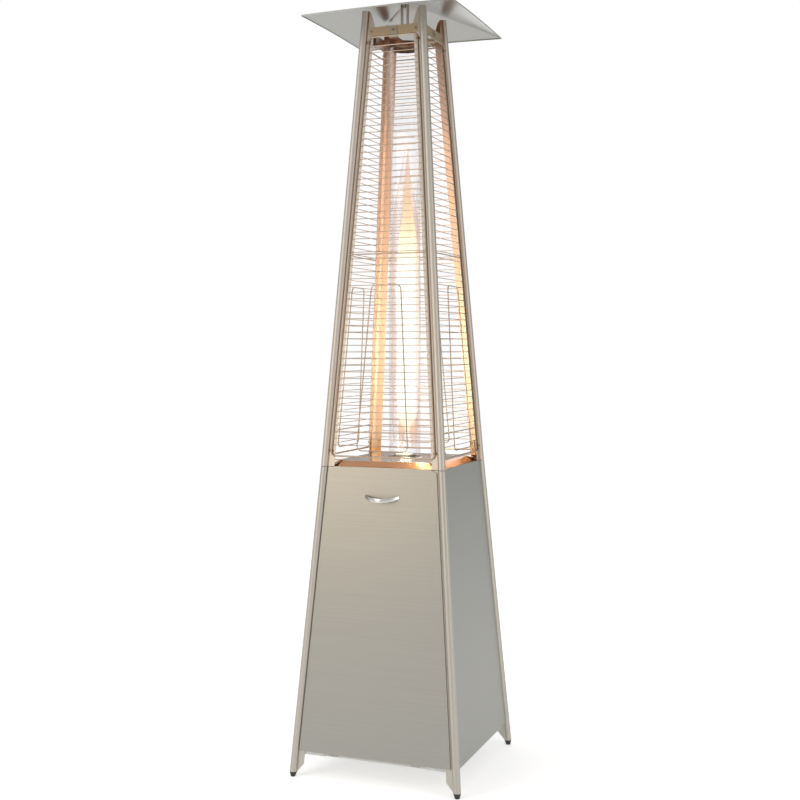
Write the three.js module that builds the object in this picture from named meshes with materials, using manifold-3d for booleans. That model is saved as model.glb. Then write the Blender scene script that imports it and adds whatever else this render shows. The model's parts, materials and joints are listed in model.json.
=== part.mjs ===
// Pyramid patio heater with a glass flame tube: four leaning legs and posts, a panelled cabinet
// for the gas bottle, a reflecting deck, wire guards, and a pyramid reflector on a hanger strap.
// Units are millimetres, +Z is up, the door faces -Y and the origin is on the floor at the centre.

import * as THREE from "three";
import { mergeVertices } from "three/addons/utils/BufferGeometryUtils.js";
import Module from "manifold-3d";

const wasm = await Module();
wasm.setup();

// ---------------------------------------------------------------- driving dimensions

const FLOOR_HALF = 252.8;      // leg centre to the middle plane, at the floor
const SPLIT_HALF = 181.2;      // the same where legs meet posts
const TOP_HALF = 87.7;         // the same at the post tops
const SPLIT_Z = 904;
const TOP_Z = 2230;

const TUBE_R = 11;             // rolled edge of a leg or post
const TUBE_WALL = 1.2;
const FLANGE_REACH = 30.5;     // from the tube's centre to the flange's edge
const FLANGE_T = 1.5;
const GAP = 0.3;               // clearance between neighbouring pieces

const PANEL_FRONT = 4.0;       // panel skin's outer face in front of the tube plane
const PANEL_SKIN = 1.2;
const PANEL_BOTTOM = 76;
const PANEL_TOP = 905;
const PANEL_EDGE = 15;         // tube centre to panel edge
const PANEL_CHAMFER_W = 20;
const PANEL_CHAMFER_H = 8.5;

const HINGE_V = 74.5;          // door hinge line, up the door plane
const HINGE_W = -3.0;          // and behind the tube plane

const DECK_Z = 921;            // top of the burner deck
const DECK_HALF = 152;
const DECK_RIM_HALF = 179;
const DECK_RIM_Z = 905.3;
const DECK_T = 1.5;

const GLASS_R = 47.5;
const GLASS_WALL = 2;
const GLASS_BOTTOM = 900;
const GLASS_TOP = 2146;

const GUARD_BOTTOM = 934.7;
const GUARD_TOP = 2152.6;
const GUARD_EDGE = 18.5;       // tube centre to the middle of the frame rod
const GUARD_ROD_R = 2.5;
const GUARD_W = GAP + GUARD_ROD_R;
const WIRE = 2.2;
const WIRE_PITCH = (2126 - 1005.3) / 58;

const REFLECTOR_HALF = 230;
const REFLECTOR_CORNER_Z = 2200;
const REFLECTOR_BOW = 3;
const REFLECTOR_APEX_Z = 2268;
const REFLECTOR_HEM = 4;
const SHEET = 1.2;

const SIDES = ["front", "right", "rear", "left"];
const CORNERS = ["front_right", "rear_right", "rear_left", "front_left"];

const group = new THREE.Group();

const STEEL = { color: 0xb4b0a6, metalness: 1, roughness: 0.35 };
const DARK = { color: 0x1c1c1a, metalness: 0, roughness: 0.6 };
const GLASS = { color: 0xdfe8ea, metalness: 0, roughness: 0.05, transparent: true, opacity: 0.35 };
const BRASS = { color: 0xb08d57, metalness: 1, roughness: 0.35 };
const CERAMIC = { color: 0xe8e2d4, metalness: 0, roughness: 0.5 };

// ---------------------------------------------------------------- helpers

function lerp(a, b, t) {
  return a + (b - a) * t;
}

// Distance of a tube's centre from the middle planes at a height.
function tubeHalf(z) {
  if (z <= SPLIT_Z) return lerp(FLOOR_HALF, SPLIT_HALF, z / SPLIT_Z);
  return lerp(SPLIT_HALF, TOP_HALF, (z - SPLIT_Z) / (TOP_Z - SPLIT_Z));
}

function toSolid(geometry) {
  const bare = geometry.clone();
  bare.deleteAttribute("normal");
  bare.deleteAttribute("uv");
  const merged = mergeVertices(bare, 1e-4);
  return new wasm.Manifold(new wasm.Mesh({
    numProp: 3,
    vertProperties: Float32Array.from(merged.attributes.position.array),
    triVerts: Uint32Array.from(merged.index.array),
  }));
}

function toGeometry(solid) {
  const mesh = solid.getMesh();
  const geometry = new THREE.BufferGeometry();
  geometry.setAttribute("position", new THREE.BufferAttribute(Float32Array.from(mesh.vertProperties), 3));
  geometry.setIndex(new THREE.BufferAttribute(Uint32Array.from(mesh.triVerts), 1));
  return geometry;
}

function join(...geometries) {
  return toGeometry(geometries.map(toSolid).reduce((a, b) => a.add(b)));
}

function cut(body, ...tools) {
  return toGeometry(tools.map(toSolid).reduce((a, b) => a.subtract(b), toSolid(body)));
}

function indexed(positions, index) {
  const geometry = new THREE.BufferGeometry();
  geometry.setAttribute("position", new THREE.BufferAttribute(Float32Array.from(positions), 3));
  geometry.setIndex(index);
  return geometry;
}

// Closed body through level outlines of equal length, each {z, points: [[x, y], ...]} anticlockwise.
function loft(levels) {
  const count = levels[0].points.length;
  const positions = levels.flatMap(({ z, points }) => points.flatMap(([x, y]) => [x, y, z]));
  const index = [];
  for (let level = 0; level < levels.length - 1; level++) {
    for (let i = 0; i < count; i++) {
      const a = level * count + i;
      const b = level * count + (i + 1) % count;
      index.push(a, b, b + count, a, b + count, a + count);
    }
  }
  const last = (levels.length - 1) * count;
  const outline = (points) => points.map(([x, y]) => new THREE.Vector2(x, y));
  for (const [a, b, c] of THREE.ShapeUtils.triangulateShape(outline(levels[0].points), [])) {
    index.push(c, b, a);
  }
  for (const [a, b, c] of THREE.ShapeUtils.triangulateShape(outline(levels.at(-1).points), [])) {
    index.push(last + a, last + b, last + c);
  }
  return indexed(positions, index);
}

// Turned body from a closed [radius, z] profile, anticlockwise with the radius to the right.
function revolve(profile, segments = 32) {
  const positions = [];
  const index = [];
  const rings = profile.map(([radius, z]) => {
    const first = positions.length / 3;
    const copies = radius === 0 ? 1 : segments;
    for (let k = 0; k < copies; k++) {
      const angle = (2 * Math.PI * k) / segments;
      positions.push(radius * Math.cos(angle), radius * Math.sin(angle), z);
    }
    return { first, copies };
  });
  rings.forEach((a, j) => {
    const b = rings[(j + 1) % rings.length];
    if (a.copies === 1 && b.copies === 1) return;
    for (let k = 0; k < segments; k++) {
      const a0 = a.first + k % a.copies;
      const a1 = a.first + (k + 1) % a.copies;
      const b0 = b.first + k % b.copies;
      const b1 = b.first + (k + 1) % b.copies;
      if (a.copies > 1) index.push(a0, a1, b1);
      if (b.copies > 1) index.push(a0, b1, b0);
    }
  });
  return indexed(positions, index);
}

function cylinder(radius, z0, z1, segments = 24) {
  return revolve([[0, z0], [radius, z0], [radius, z1], [0, z1]], segments);
}

function box(x0, x1, y0, y1, z0, z1) {
  const geometry = new THREE.BoxGeometry(x1 - x0, y1 - y0, z1 - z0);
  return geometry.translate((x0 + x1) / 2, (y0 + y1) / 2, (z0 + z1) / 2);
}

// Flat plate from an outline in the XY plane, between two heights, with optional holes.
function slab(outline, z0, z1, holes = []) {
  const shape = new THREE.Shape(outline.map(([x, y]) => new THREE.Vector2(x, y)));
  for (const hole of holes) {
    shape.holes.push(new THREE.Path(hole.map(([x, y]) => new THREE.Vector2(x, y))));
  }
  const geometry = new THREE.ExtrudeGeometry(shape, { depth: z1 - z0, bevelEnabled: false });
  return geometry.translate(0, 0, z0);
}

function circle(radius, count, [x, y] = [0, 0], turn = 0) {
  return Array.from({ length: count }, (_, i) => {
    const angle = turn + (2 * Math.PI * i) / count;
    return [x + radius * Math.cos(angle), y + radius * Math.sin(angle)];
  });
}

// Corners of an outline rounded with a few straight steps.
function rounded(outline, radius, steps = 3) {
  const result = [];
  outline.forEach((corner, i) => {
    const here = new THREE.Vector2(...corner);
    const before = new THREE.Vector2(...outline.at(i - 1)).sub(here).normalize();
    const after = new THREE.Vector2(...outline[(i + 1) % outline.length]).sub(here).normalize();
    const half = Math.acos(before.dot(after)) / 2;
    const start = here.clone().addScaledVector(before, radius / Math.tan(half));
    const end = here.clone().addScaledVector(after, radius / Math.tan(half));
    const middle = before.clone().add(after).normalize();
    const centre = here.clone().addScaledVector(middle, radius / Math.sin(half));
    const a0 = start.clone().sub(centre).angle();
    let turn = end.clone().sub(centre).angle() - a0;
    if (turn > Math.PI) turn -= 2 * Math.PI;
    if (turn < -Math.PI) turn += 2 * Math.PI;
    for (let s = 0; s <= steps; s++) {
      const a = a0 + (turn * s) / steps;
      result.push([centre.x + radius * Math.cos(a), centre.y + radius * Math.sin(a)]);
    }
  });
  return result;
}

// Round rod along a flat path in the XY plane at height z, closed or open.
function rod(path, radius, z, closed, sides = 8) {
  const count = path.length;
  const positions = [];
  const index = [];
  for (let i = 0; i < count; i++) {
    const here = new THREE.Vector2(...path[i]);
    const before = closed || i > 0 ? new THREE.Vector2(...path[(i + count - 1) % count]) : null;
    const after = closed || i < count - 1 ? new THREE.Vector2(...path[(i + 1) % count]) : null;
    const into = before ? here.clone().sub(before).normalize() : after.clone().sub(here).normalize();
    const out = after ? after.clone().sub(here).normalize() : into;
    const along = into.clone().add(out).normalize();
    const stretch = 1 / along.dot(into);
    const side = new THREE.Vector2(along.y, -along.x).multiplyScalar(stretch);
    for (let k = 0; k < sides; k++) {
      const a = (2 * Math.PI * (k + 0.5)) / sides;
      const across = radius * Math.cos(a);
      positions.push(here.x + side.x * across, here.y + side.y * across, z + radius * Math.sin(a));
    }
  }
  const spans = closed ? count : count - 1;
  for (let i = 0; i < spans; i++) {
    for (let k = 0; k < sides; k++) {
      const a = i * sides + k;
      const b = i * sides + (k + 1) % sides;
      const c = ((i + 1) % count) * sides + k;
      const d = ((i + 1) % count) * sides + (k + 1) % sides;
      index.push(a, d, b, a, c, d);
    }
  }
  if (!closed) {
    const last = (count - 1) * sides;
    for (let k = 1; k < sides - 1; k++) {
      index.push(0, k, k + 1);
      index.push(last, last + k + 1, last + k);
    }
  }
  return indexed(positions, index);
}

// Closed outline of a bent strip of even thickness along an open path.
function strip(path, thickness) {
  const sides = [[], []];
  path.forEach((point, i) => {
    const here = new THREE.Vector2(...point);
    const into = i > 0 ? here.clone().sub(new THREE.Vector2(...path[i - 1])).normalize() : null;
    const out = i < path.length - 1
      ? new THREE.Vector2(...path[i + 1]).sub(here).normalize() : into;
    const first = into ?? out;
    const along = first.clone().add(out).normalize();
    const reach = thickness / 2 / along.dot(first);
    sides[0].push([here.x + along.y * reach, here.y - along.x * reach]);
    sides[1].push([here.x - along.y * reach, here.y + along.x * reach]);
  });
  return [...sides[0], ...sides[1].reverse()];
}

// Frames of the leaning faces: x across the face, y up it, z out of it.
function leaningFace(half, z, otherHalf, otherZ) {
  const lean = Math.atan2(half - otherHalf, otherZ - z);
  const across = new THREE.Vector3(1, 0, 0);
  const up = new THREE.Vector3(0, Math.sin(lean), Math.cos(lean));
  const out = new THREE.Vector3(0, -Math.cos(lean), Math.sin(lean));
  return new THREE.Matrix4().makeBasis(across, up, out).setPosition(0, -half, z);
}

const LOWER_FACE = leaningFace(FLOOR_HALF, 0, SPLIT_HALF, SPLIT_Z);
const UPPER_FACE = leaningFace(SPLIT_HALF, SPLIT_Z, TOP_HALF, TOP_Z);
const LOWER_COS = Math.cos(Math.atan2(FLOOR_HALF - SPLIT_HALF, SPLIT_Z));
const UPPER_COS = Math.cos(Math.atan2(SPLIT_HALF - TOP_HALF, TOP_Z - SPLIT_Z));
const ALONG_Y = new THREE.Matrix4().makeRotationX(Math.PI / 2);  // turned parts, -Z end to +Y

function lowerV(z) {
  return z / LOWER_COS;
}

function upperV(z) {
  return (z - SPLIT_Z) / UPPER_COS;
}

function quarterTurn(geometry, side) {
  return geometry.clone().rotateZ((side * Math.PI) / 2);
}

function add(name, geometry, look = STEEL) {
  const bare = geometry.clone();
  bare.deleteAttribute("normal");
  bare.deleteAttribute("uv");
  const shown = mergeVertices(bare, 1e-4).toNonIndexed();
  shown.computeVertexNormals();
  const mesh = new THREE.Mesh(shown, new THREE.MeshStandardMaterial(look));
  mesh.name = name;
  group.add(mesh);
}

// ---------------------------------------------------------------- legs, posts and feet

// Plan outline of the front right corner profile: a tube with a flange along each face.
function cornerOutline(z, reach) {
  const c = tubeHalf(z);
  const points = [];
  const steps = 12;
  for (let i = 0; i <= steps; i++) {
    const angle = Math.PI + (1.5 * Math.PI * i) / steps;
    points.push([TUBE_R * Math.cos(angle), TUBE_R * Math.sin(angle)]);
  }
  const inner = Math.sqrt(TUBE_R ** 2 - FLANGE_T ** 2);
  points.push([0, reach], [-FLANGE_T, reach], [-FLANGE_T, inner]);
  const from = Math.atan2(inner, -FLANGE_T);
  const to = Math.atan2(FLANGE_T, -inner);
  for (let i = 1; i < 3; i++) {
    const angle = lerp(from, to, i / 3);
    points.push([TUBE_R * Math.cos(angle), TUBE_R * Math.sin(angle)]);
  }
  points.push([-inner, FLANGE_T], [-reach, FLANGE_T], [-reach, 0]);
  return { z, points: points.map(([x, y]) => [c + x, -c + y]) };
}

// Round section round the front right tube's centre at a height.
function cornerCircle(z, radius) {
  const c = tubeHalf(z);
  return { z, points: circle(radius, 16, [c, -c]) };
}

const stub = TUBE_R + 0.8;
const legBore = TUBE_R - TUBE_WALL;

const leg = cut(
  loft([
    cornerOutline(15, stub),
    cornerOutline(39, FLANGE_REACH),
    cornerOutline(SPLIT_Z - GAP, FLANGE_REACH),
  ]),
  loft([cornerCircle(10, legBore), cornerCircle(SPLIT_Z - 0.001, legBore)]),
);

const post = cut(
  join(
    loft([
      cornerOutline(SPLIT_Z + 0.1, FLANGE_REACH),
      cornerOutline(2189, FLANGE_REACH),
      cornerOutline(2225, 16),
      cornerOutline(TOP_Z, stub),
    ]),
    loft([cornerCircle(864, 9.4), cornerCircle(SPLIT_Z, 9.4), cornerCircle(SPLIT_Z + 10, 9.4)]),
  ),
  loft([cornerCircle(860, 8), cornerCircle(SPLIT_Z, 8), cornerCircle(TOP_Z + 5, 8)]),
);

// Plastic foot: a tapered pad under the leg with a stem that plugs its tube.
const foot = loft([
  cornerCircle(0, 7),
  cornerCircle(14.7, TUBE_R),
  cornerCircle(14.7, legBore - GAP),
  cornerCircle(40, legBore - GAP),
]);

CORNERS.forEach((corner, side) => {
  add(`leg_${corner}`, quarterTurn(leg, side));
  add(`post_${corner}`, quarterTurn(post, side));
  add(`foot_${corner}`, quarterTurn(foot, side), DARK);
});

// ---------------------------------------------------------------- cabinet panels and door

function panelOutline(inset) {
  const foldZ = PANEL_TOP - PANEL_CHAMFER_H;
  const low = tubeHalf(PANEL_BOTTOM) - PANEL_EDGE - inset;
  const high = tubeHalf(foldZ) - PANEL_EDGE - inset;
  const top = lowerV(PANEL_TOP) - inset;
  return [
    [-low, lowerV(PANEL_BOTTOM) + inset],
    [low, lowerV(PANEL_BOTTOM) + inset],
    [high, lowerV(foldZ) - inset * 0.6],
    [high - PANEL_CHAMFER_W, top],
    [PANEL_CHAMFER_W - high, top],
    [-high, lowerV(foldZ) - inset * 0.6],
  ];
}

// Panel: a skin with its edges folded back towards the flanges.
const panel = cut(
  slab(panelOutline(0), GAP, PANEL_FRONT),
  slab(panelOutline(SHEET), GAP - 1, PANEL_FRONT - PANEL_SKIN),
);

SIDES.forEach((name, side) => {
  if (name === "front") return;
  add(`${name}_panel`, quarterTurn(panel.clone().applyMatrix4(LOWER_FACE), side));
});

// The door is the same panel with two rolled knuckles at its bottom edge.
const alongX = new THREE.Matrix4().makeRotationY(Math.PI / 2);

function onHinge(geometry) {
  return geometry.applyMatrix4(alongX).translate(0, HINGE_V, HINGE_W);
}

const knuckleSpan = [112, 140];
const doorParts = [panel];
const doorBores = [];
for (const sign of [-1, 1]) {
  const [a, b] = knuckleSpan.map((x) => x * sign).sort((p, q) => p - q);
  doorParts.push(onHinge(cylinder(3.6, a, b)));
  doorParts.push(box(a, b, HINGE_V, lowerV(PANEL_BOTTOM) + 1, HINGE_W + 1.5, PANEL_FRONT - 1.5));
  doorBores.push(onHinge(cylinder(2.5, a - 1, b + 1)));
}
const door = cut(join(...doorParts), ...doorBores);
add("front_door", door.applyMatrix4(LOWER_FACE));

const hingeRod = onHinge(cylinder(2.42, -152, 152));
add("door_hinge_rod", hingeRod.applyMatrix4(LOWER_FACE));

// Bow handle: an arched strap that stands off the door and droops a little towards its middle.
const HANDLE_Z = 822;
const HANDLE_X = 4;
const HANDLE_HALF = 51;
const HANDLE_STAND = 29;
const HANDLE_HEIGHT = 12;
const HANDLE_T = 3;
const HANDLE_DROOP = 0.32;
const HANDLE_STEPS = 16;
const HANDLE_POWER = 2.2;
const handleFoot = PANEL_FRONT + GAP;
const handlePath = Array.from({ length: HANDLE_STEPS + 1 }, (_, i) => {
  const t = (2 * i) / HANDLE_STEPS - 1;
  return [HANDLE_HALF * t, handleFoot + 0.2 + HANDLE_STAND * (1 - Math.abs(t) ** HANDLE_POWER)];
});
const handle = cut(
  slab(strip(handlePath, HANDLE_T), -HANDLE_HEIGHT / 2, HANDLE_HEIGHT / 2),
  box(-60, 60, handleFoot - 10, handleFoot, -20, 20),
);
handle.rotateX(Math.PI / 2);
handle.applyMatrix4(new THREE.Matrix4().set(
  1, 0, 0, HANDLE_X,
  0, 1, -HANDLE_DROOP, lowerV(HANDLE_Z) + HANDLE_DROOP * handleFoot,
  0, 0, 1, 0,
  0, 0, 0, 1,
));
add("door_handle", handle.applyMatrix4(LOWER_FACE));

// ---------------------------------------------------------------- bottom tray and heat shield

const TRAY_HALF = 244.2;
const TRAY_TOP = 81.5;
const TRAY_LIP = 15;
const TRAY_NOTCH = 26;
const TRAY_RECESS = 4.7;
const TRAY_RECESS_HALF = 155;

function trayOutline(inset) {
  const h = TRAY_HALF - inset;
  const n = TRAY_NOTCH;
  const recess = TRAY_RECESS_HALF + inset;
  const back = -h + TRAY_RECESS;
  return [
    [-h + n, -h], [-recess, -h], [-recess, back], [recess, back], [recess, -h], [h - n, -h],
    [h, -h + n], [h, h - n], [h - n, h], [-h + n, h], [-h, h - n], [-h, -h + n],
  ];
}

const hingePoint = new THREE.Vector3(0, HINGE_V, HINGE_W).applyMatrix4(LOWER_FACE);
const earBack = -TRAY_HALF + TRAY_RECESS + 0.6;
const tray = cut(
  slab(trayOutline(0), TRAY_TOP - TRAY_LIP, TRAY_TOP),
  slab(trayOutline(SHEET), TRAY_TOP - TRAY_LIP - 1, TRAY_TOP - 1.5),
);
const ears = [];
const earBores = [];
for (const sign of [-1, 1]) {
  const [a, b] = [146 * sign, 149 * sign].sort((p, q) => p - q);
  const eye = cylinder(3.4, a, b).applyMatrix4(alongX);
  ears.push(eye.translate(0, hingePoint.y, hingePoint.z));
  ears.push(box(a, b, hingePoint.y, earBack, hingePoint.z - 3.3, TRAY_TOP - 1));
  const bore = cylinder(2.6, a - 1, b + 1).applyMatrix4(alongX);
  earBores.push(bore.translate(0, hingePoint.y, hingePoint.z));
}
add("bottom_tray", cut(join(tray, ...ears), ...earBores));

const SHIELD_Z = 785;
const shieldHalf = tubeHalf(SHIELD_Z) - 3;
const shieldNotch = 34;
function shieldOutline(inset) {
  const h = shieldHalf - inset;
  const n = shieldNotch + inset;
  return [
    [-h + n, -h], [h - n, -h], [h - n, -h + n], [h, -h + n], [h, h - n], [h - n, h - n],
    [h - n, h], [-h + n, h], [-h + n, h - n], [-h, h - n], [-h, -h + n], [-h + n, -h + n],
  ];
}
add("heat_shield", cut(
  slab(shieldOutline(0), SHIELD_Z - 12, SHIELD_Z),
  slab(shieldOutline(SHEET), SHIELD_Z - 13, SHIELD_Z - SHEET),
  slab(circle(14, 24, [-30, -120]), SHIELD_Z - 14, SHIELD_Z + 1),
));

// ---------------------------------------------------------------- burner deck and burner

function deckOutline(half, rimHalf) {
  return [
    [-rimHalf, -half], [rimHalf, -half], [half, -rimHalf], [half, rimHalf],
    [rimHalf, half], [-rimHalf, half], [-half, rimHalf], [-half, -rimHalf],
  ];
}

const deckShape = loft([
  { z: DECK_RIM_Z, points: deckOutline(DECK_RIM_HALF, 158) },
  { z: DECK_Z, points: deckOutline(DECK_HALF, 131) },
]);
const deckInside = loft([
  { z: DECK_RIM_Z - DECK_T - 0.5, points: deckOutline(DECK_RIM_HALF + 0.35, 158.35) },
  { z: DECK_Z - DECK_T, points: deckOutline(DECK_HALF - 0.5, 130.5) },
]);
add("burner_deck", cut(deckShape, deckInside, cylinder(GLASS_R + 1.2, DECK_Z - 5, DECK_Z + 5, 48)));

// Corner bracket: a bent sheet inside each post, with a foot on the deck.
const WING_NEAR = FLANGE_T + GAP + SHEET / 2;
function bracketLevel(z) {
  const c = tubeHalf(z);
  const path = [[-FLANGE_REACH + 1, WING_NEAR], [-15, WING_NEAR], [-WING_NEAR, 15], [-WING_NEAR, FLANGE_REACH - 1]];
  return { z, points: strip(path, SHEET).map(([x, y]) => [c + x, -c + y]) };
}
const bracketFootC = tubeHalf(DECK_Z);
const bracketFoot = [[-29, 2.2], [-15, 2.2], [-2.2, 15], [-2.2, 29], [-30, 44], [-44, 30]]
  .map(([x, y]) => [bracketFootC + x, -bracketFootC + y]).reverse();
const bracket = join(
  loft([bracketLevel(DECK_Z + GAP), bracketLevel(965)]),
  slab(bracketFoot, DECK_Z + GAP, DECK_Z + GAP + SHEET),
);
CORNERS.forEach((corner, side) => add(`bracket_${corner}`, quarterTurn(bracket, side), BRASS));

const SEAT_R = GLASS_R + 2;
add("glass_seat", revolve([
  [38, 898], [SEAT_R, 898], [SEAT_R, DECK_Z - DECK_T - GAP], [SEAT_R - 1.2, DECK_Z - DECK_T - GAP],
  [SEAT_R - 1.2, 899.2], [38, 899.2],
], 48));

add("glass_tube", revolve([
  [GLASS_R - GLASS_WALL, GLASS_BOTTOM], [GLASS_R, GLASS_BOTTOM],
  [GLASS_R, GLASS_TOP], [GLASS_R - GLASS_WALL, GLASS_TOP],
], 48), GLASS);

const PILOT_XY = [-21.5, 21.5];
const SPARK_XY = [-29.3, 8];
const THERMO_XY = [-8, 29.3];
add("burner_cup", cut(
  revolve([
    [5.8, 860], [36, 860], [36, 896.3], [48, 896.3], [48, 897.5],
    [34.8, 897.5], [34.8, 861.2], [5.8, 861.2],
  ], 32),
  slab(circle(3, 12, PILOT_XY), 855, 865),
));

add("burner_head", cut(
  revolve([[6, 861.5], [20, 861.5], [20, 920], [15, 926], [0, 926], [0, 924.6], [14, 924.6],
    [18.8, 919], [18.8, 862.7], [6, 862.7]], 24),
  ...[0, 1, 2, 3].map((i) => {
    const slot = box(-22, 22, -1.5, 1.5, 890, 914);
    return slot.rotateZ((i * Math.PI) / 4);
  }),
));

add("burner_screen", cut(
  revolve([[25, 861.5], [26, 861.5], [26, 931], [0, 931], [0, 930], [25, 930]], 24),
  ...[0, 1, 2, 3].map((i) => {
    const slot = box(-28, 28, -2, 2, 900, 924);
    return slot.rotateZ((i * Math.PI) / 4);
  }),
));

const injector = join(
  revolve([[0, 832], [8, 832], [8, 856], [5.4, 856], [5.4, 868], [0, 868]], 16),
  cylinder(5, 0, 12, 12).applyMatrix4(ALONG_Y).translate(0, 0, 845),
);
add("burner_injector", injector, BRASS);

function upright([x, y], radius, z0, z1) {
  return cylinder(radius, z0, z1, 12).translate(x, y, 0);
}

add("pilot_head", upright(PILOT_XY, 3.5, 900.3, 929), BRASS);
add("spark_electrode", upright(SPARK_XY, 2.2, 861.5, 931), CERAMIC);
add("thermocouple", upright(THERMO_XY, 1.8, 861.5, 928), BRASS);

// ---------------------------------------------------------------- gas controls behind the door

const BOX_FRONT = -150;
const VALVE_X = -30;
const VALVE_Z = 849;
const IGNITER_X = 35;

const controlHoles = [
  cylinder(6, -10, 10).applyMatrix4(ALONG_Y).translate(VALVE_X, BOX_FRONT, VALVE_Z),
  cylinder(9, -10, 10).applyMatrix4(ALONG_Y).translate(IGNITER_X, BOX_FRONT, VALVE_Z),
];
add("control_box", cut(
  box(-75, 75, BOX_FRONT, -80, 805, DECK_Z - DECK_T - GAP),
  box(-73.8, 73.8, BOX_FRONT + SHEET, -79, 804, DECK_Z - DECK_T - GAP - SHEET),
  ...controlHoles,
));

// Turned parts of the controls: the profile's height runs towards the door.
function facingDoor(geometry, x, y) {
  return geometry.applyMatrix4(ALONG_Y).translate(x, y, VALVE_Z);
}

const valveBlock = box(VALVE_X - 17, VALVE_X + 17, -141, -100, VALVE_Z - 17, VALVE_Z + 17);
const valveNose = facingDoor(cylinder(9, 0, 7), VALVE_X, -140.5);
const spindleBore = facingDoor(cylinder(4.06, 0, 60), VALVE_X, -116);
add("gas_valve", cut(join(valveBlock, valveNose), spindleBore), BRASS);
add("valve_spindle", facingDoor(cylinder(4, 0, 46), VALVE_X, -124));
const knobProfile = [
  [0, 12.3], [4.07, 12.3], [4.07, 0], [15, 0], [17, 2], [17, 14], [15, 18], [0, 18],
];
add("control_knob", join(
  facingDoor(revolve(knobProfile), VALVE_X, -158),
  box(VALVE_X - 1.5, VALVE_X + 1.5, -177.5, -175, VALVE_Z + 2, VALVE_Z + 15),
), DARK);

add("igniter_body", facingDoor(revolve([
  [0, 0], [8.5, 0], [8.5, 50.3], [13, 50.3], [13, 53.3], [6.1, 53.3], [6.1, 36], [0, 36],
]), IGNITER_X, -100), DARK);
add("igniter_button", facingDoor(revolve([
  [0, 0], [6, 0], [6, 20], [5, 21.5], [0, 21.5],
]), IGNITER_X, -142), DARK);

add("gas_inlet", revolve([
  [0, 812], [4, 812], [5, 816], [4, 816], [4, 820], [9, 820], [9, VALVE_Z - 17 - GAP], [0, VALVE_Z - 17 - GAP],
], 12).translate(VALVE_X, -120, 0), BRASS);

const pipeZ = 845;
add("gas_pipe", rod([
  [VALVE_X + 17 + GAP, -120], [-6, -120], [-1.8, -118.2], [0, -114], [0, -12.5],
], 3, pipeZ, false), BRASS);

// Pilot pipe: out of the valve's back, then up through the cup beside the burner.
const pilotRun = Math.hypot(VALVE_X - PILOT_XY[0], -99.7 - PILOT_XY[1]);
const pilotPipe = rod([[0, 900], [0, 856], [1.8, 851.8], [6, 850], [pilotRun, 850]], 2, 0, false);
pilotPipe.applyMatrix4(new THREE.Matrix4().makeBasis(
  new THREE.Vector3(VALVE_X - PILOT_XY[0], -99.7 - PILOT_XY[1], 0).normalize(),
  new THREE.Vector3(0, 0, 1),
  new THREE.Vector3(VALVE_X - PILOT_XY[0], -99.7 - PILOT_XY[1], 0).normalize()
    .cross(new THREE.Vector3(0, 0, 1)),
));
add("pilot_pipe", pilotPipe.translate(...PILOT_XY, 0), BRASS);

// Magnet on an arm that holds the closed door.
const CATCH_Z = 884;
const catchFace = -(tubeHalf(CATCH_Z + 6) + PANEL_FRONT - PANEL_SKIN) + 0.9;
add("door_catch", join(
  box(-20, 20, catchFace, catchFace + 12, CATCH_Z - 6, CATCH_Z + 6),
  box(-10, 10, catchFace + 11, BOX_FRONT - GAP, CATCH_Z - 1, CATCH_Z + 1),
), DARK);

// ---------------------------------------------------------------- glass tube holder and collar

const HOLDER_R = GLASS_R + 0.6;
const HOLDER_LOW = 2133;
const LIP_Z = GLASS_TOP + 0.5;
const holderParts = [revolve([
  [40, LIP_Z], [HOLDER_R, LIP_Z], [HOLDER_R, HOLDER_LOW], [HOLDER_R + 1.5, HOLDER_LOW],
  [HOLDER_R + 1.5, LIP_Z + 1.5], [40, LIP_Z + 1.5],
], 48)];
SIDES.forEach((_, side) => {
  const arm = box(-12.5, 12.5, -tubeHalf(LIP_Z) + 0.8, -HOLDER_R - 0.7, LIP_Z, LIP_Z + 1.5);
  const tab = box(-12.5, 12.5, upperV(LIP_Z + 0.1), upperV(2180), -FLANGE_T, 0);
  holderParts.push(quarterTurn(arm, side));
  holderParts.push(quarterTurn(tab.applyMatrix4(UPPER_FACE), side));
});
add("tube_holder", join(...holderParts));

const BAND_LOW = 2157;
const BAND_HIGH = 2182;
const BAND_END = 17;           // tube centre to the band's end
SIDES.forEach((name, side) => {
  const low = tubeHalf(BAND_LOW) - BAND_END;
  const high = tubeHalf(BAND_HIGH) - BAND_END;
  const outline = [
    [-low, upperV(BAND_LOW)], [low, upperV(BAND_LOW)], [high, upperV(BAND_HIGH)], [-high, upperV(BAND_HIGH)],
  ];
  const band = slab(outline, GAP, GAP + SHEET).applyMatrix4(UPPER_FACE);
  add(`collar_band_${name}`, quarterTurn(band, side));
});

// ---------------------------------------------------------------- wire guards

function guardHalf(z) {
  return tubeHalf(z) - GUARD_EDGE;
}

const LOOP_LOW = 952;
const LOOP_HIGH = 1430;
const LOOP_R = 1.7;
const CROSS_R = 1.9;
const LOOP_W = GUARD_W + CROSS_R + GAP + LOOP_R;

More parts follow.
